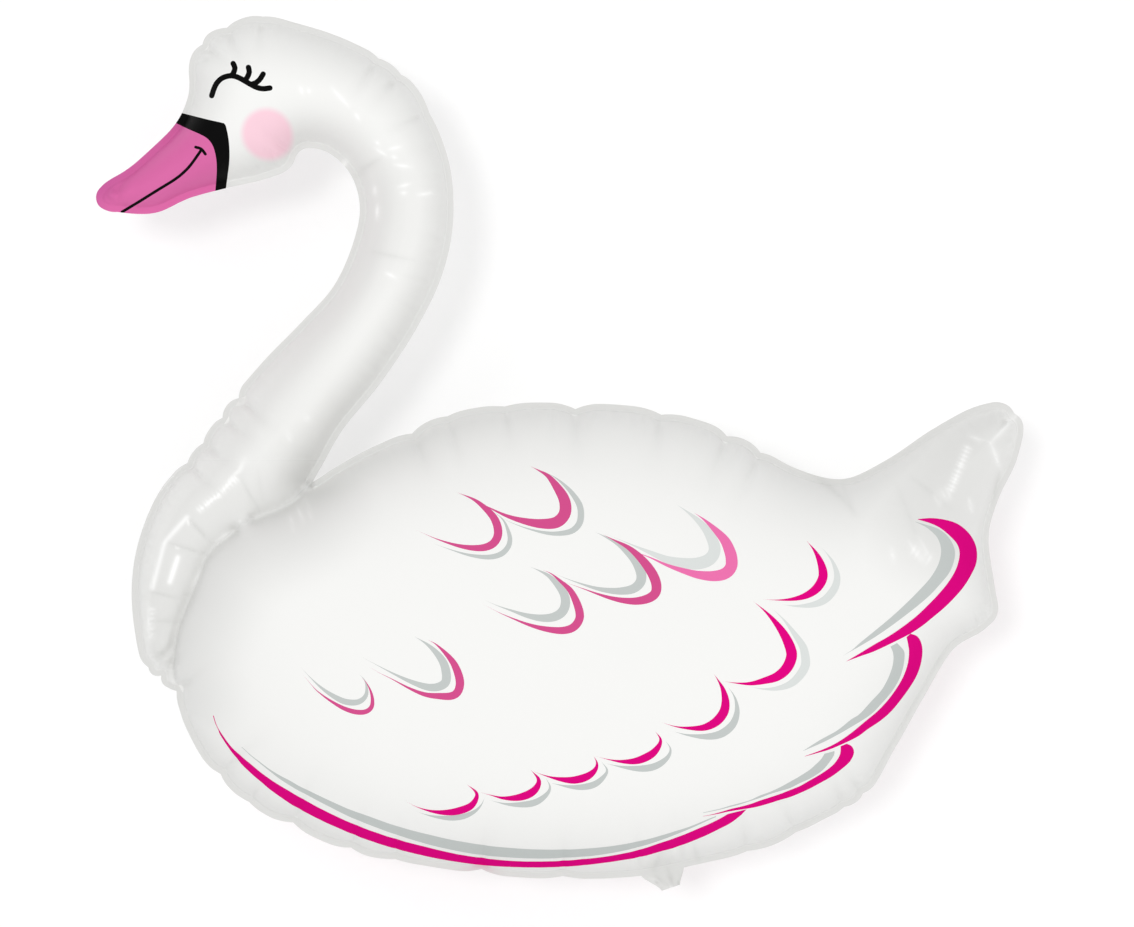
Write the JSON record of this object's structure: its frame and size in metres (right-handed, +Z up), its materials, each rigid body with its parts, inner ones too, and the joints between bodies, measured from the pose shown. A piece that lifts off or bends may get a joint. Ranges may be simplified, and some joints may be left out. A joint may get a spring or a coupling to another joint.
{
  "type": "swan foil balloon",
  "caption": "Blown-up film balloon shaped as a resting swan, with a heat-sealed rim, a curved neck sealed against the breast and a flat fill tail.",
  "frame": {"origin": "centre of the whole balloon's box in X and Y, on the surface that it lies on", "axes": "+X from the bill to the tail, +Y from the belly to the head, +Z up through the back film to the front film"},
  "size_m": [0.8492, 0.8014, 0.2749],
  "materials": {
    "film": "glossy pearl-white metallised film"
  },
  "bodies": {
    "root": {"foil_balloon": "film"}
  },
  "joints": []
}
